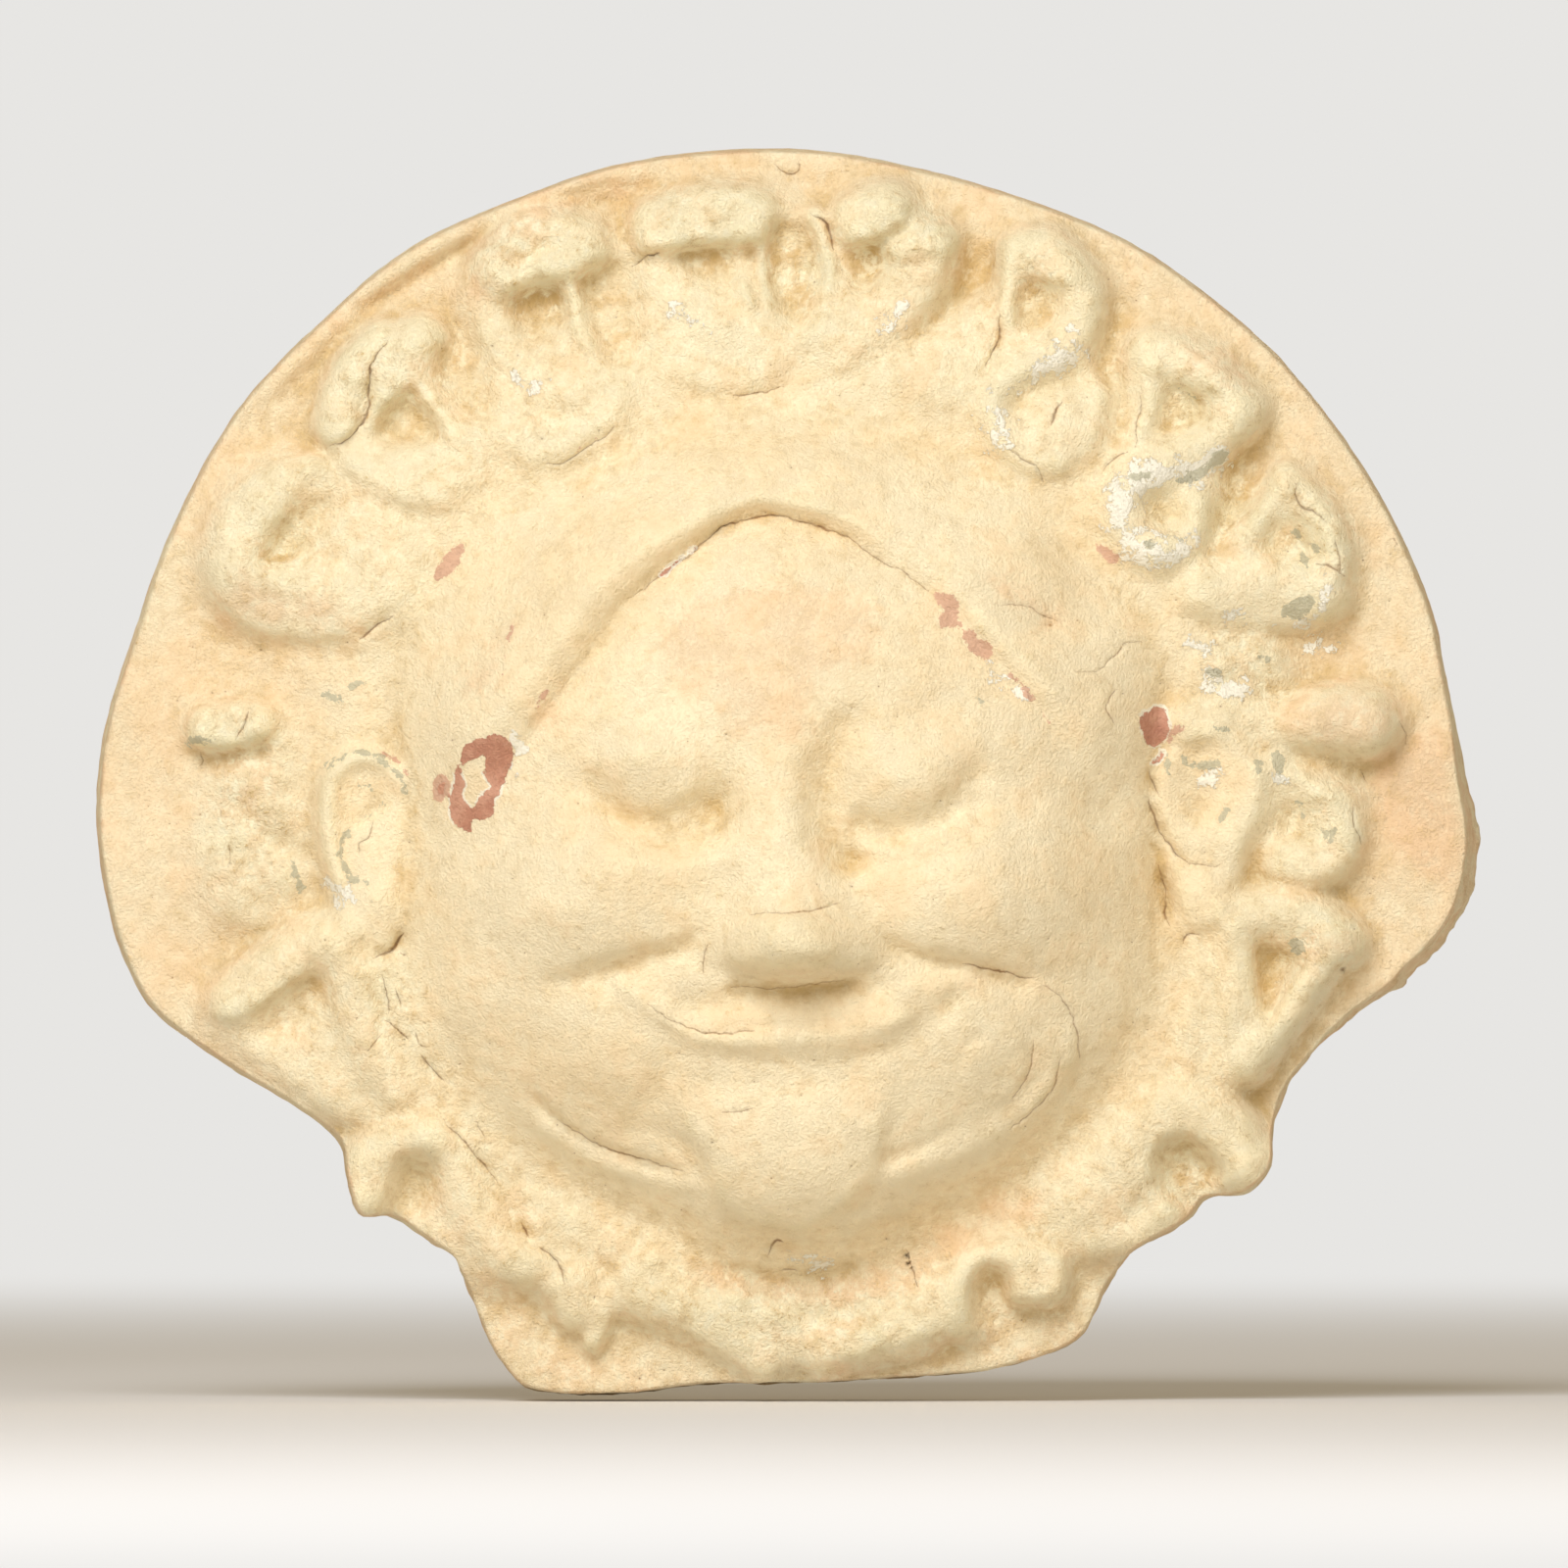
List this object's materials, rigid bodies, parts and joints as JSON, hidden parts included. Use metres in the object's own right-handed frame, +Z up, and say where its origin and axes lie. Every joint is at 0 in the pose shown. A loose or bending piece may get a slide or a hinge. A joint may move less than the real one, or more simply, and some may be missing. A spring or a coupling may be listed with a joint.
{
  "type": "antefix",
  "caption": "Moulded terracotta roof-edge ornament: a broad mask with a ring of curling locks on a thick rounded plate with broken lower corners, fixed by its flat back.",
  "frame": {"origin": "on the flat back face, at the middle of the width and level with the bridge of the nose", "axes": "+Y out of the flat back, so the mask looks along -Y; +Z up; +X to the right as seen from the front"},
  "size_m": [0.2001, 0.0548, 0.18],
  "materials": {
    "fired_clay": "matt pale buff terracotta, worn, with traces of red and grey paint"
  },
  "bodies": {
    "root": {"antefix": "fired_clay"}
  },
  "joints": []
}
